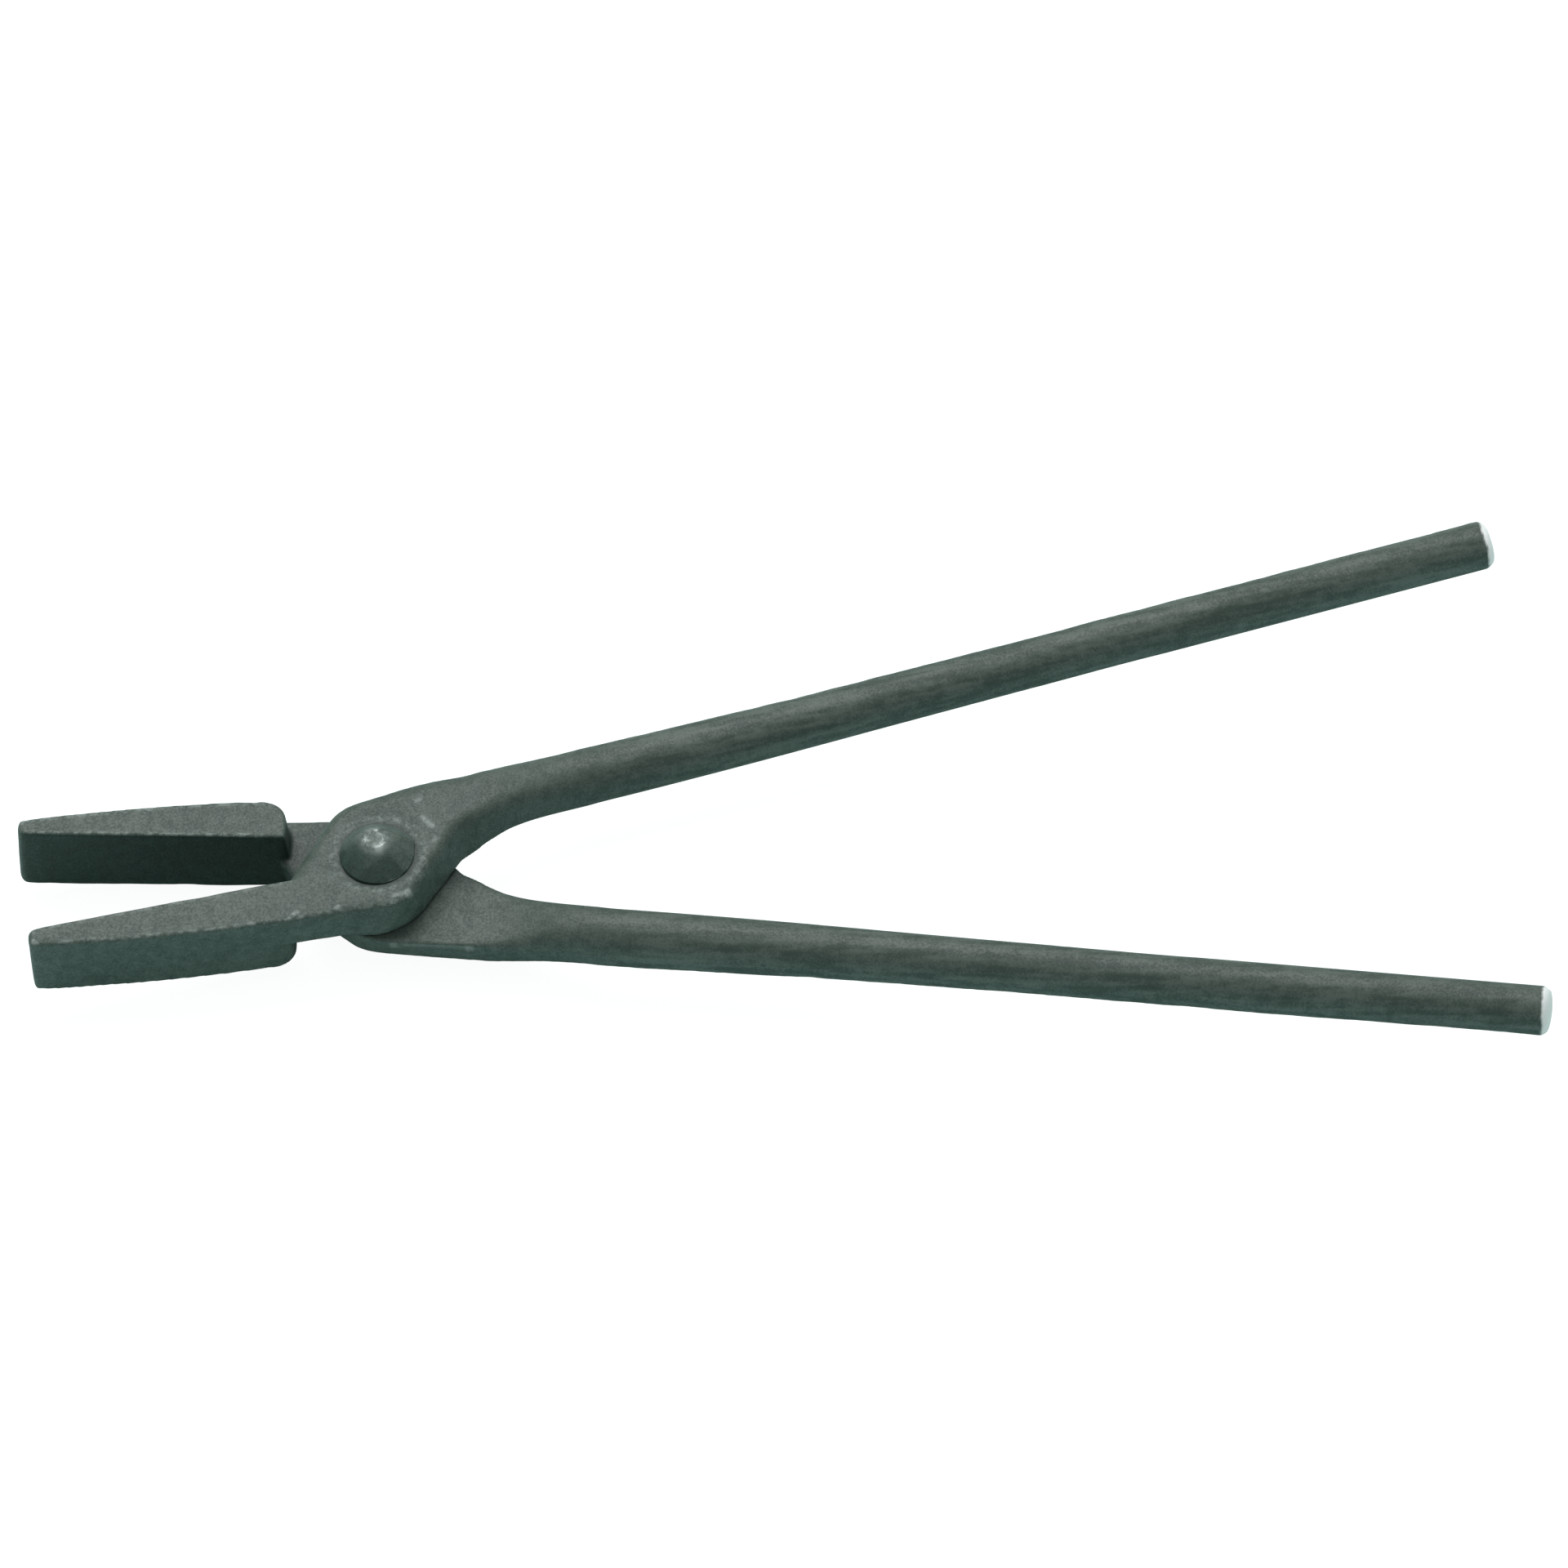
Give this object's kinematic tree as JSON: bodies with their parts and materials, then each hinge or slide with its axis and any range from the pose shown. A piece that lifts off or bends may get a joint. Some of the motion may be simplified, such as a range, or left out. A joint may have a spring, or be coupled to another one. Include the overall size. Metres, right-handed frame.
{
  "type": "crucible tongs",
  "caption": "Forged flat-jaw crucible tongs with lapped bosses on a hammered pivot rivet and long round reins; spreading the reins opens the jaws.",
  "frame": {"origin": "centre of the bounding box in plan, at its lowest point, which is the crown of the lower rivet head", "axes": "+X along the tongs to the ends of the reins, +Y across them in the plane in which they open, +Z along the rivet"},
  "size_m": [0.3928, 0.1658, 0.0334],
  "materials": {
    "forged_steel": "black forging scale, matte, with worn bright edges",
    "rivet_steel": "hammered and scaled, rubbed bright at the crown",
    "cut_steel": "bare cut ends, lightly ground"
  },
  "bodies": {
    "lower": {"lower_half": "forged_steel", "pivot_rivet": "rivet_steel"},
    "upper": {"upper_half": "forged_steel"}
  },
  "joints": [
    {"name": "pivot", "type": "hinge", "parent": "lower", "child": "upper", "pos_m": [-0.10424, 0, 0.01665], "axis": [0, 0, 1], "range_deg": [-20, 82]}
  ]
}
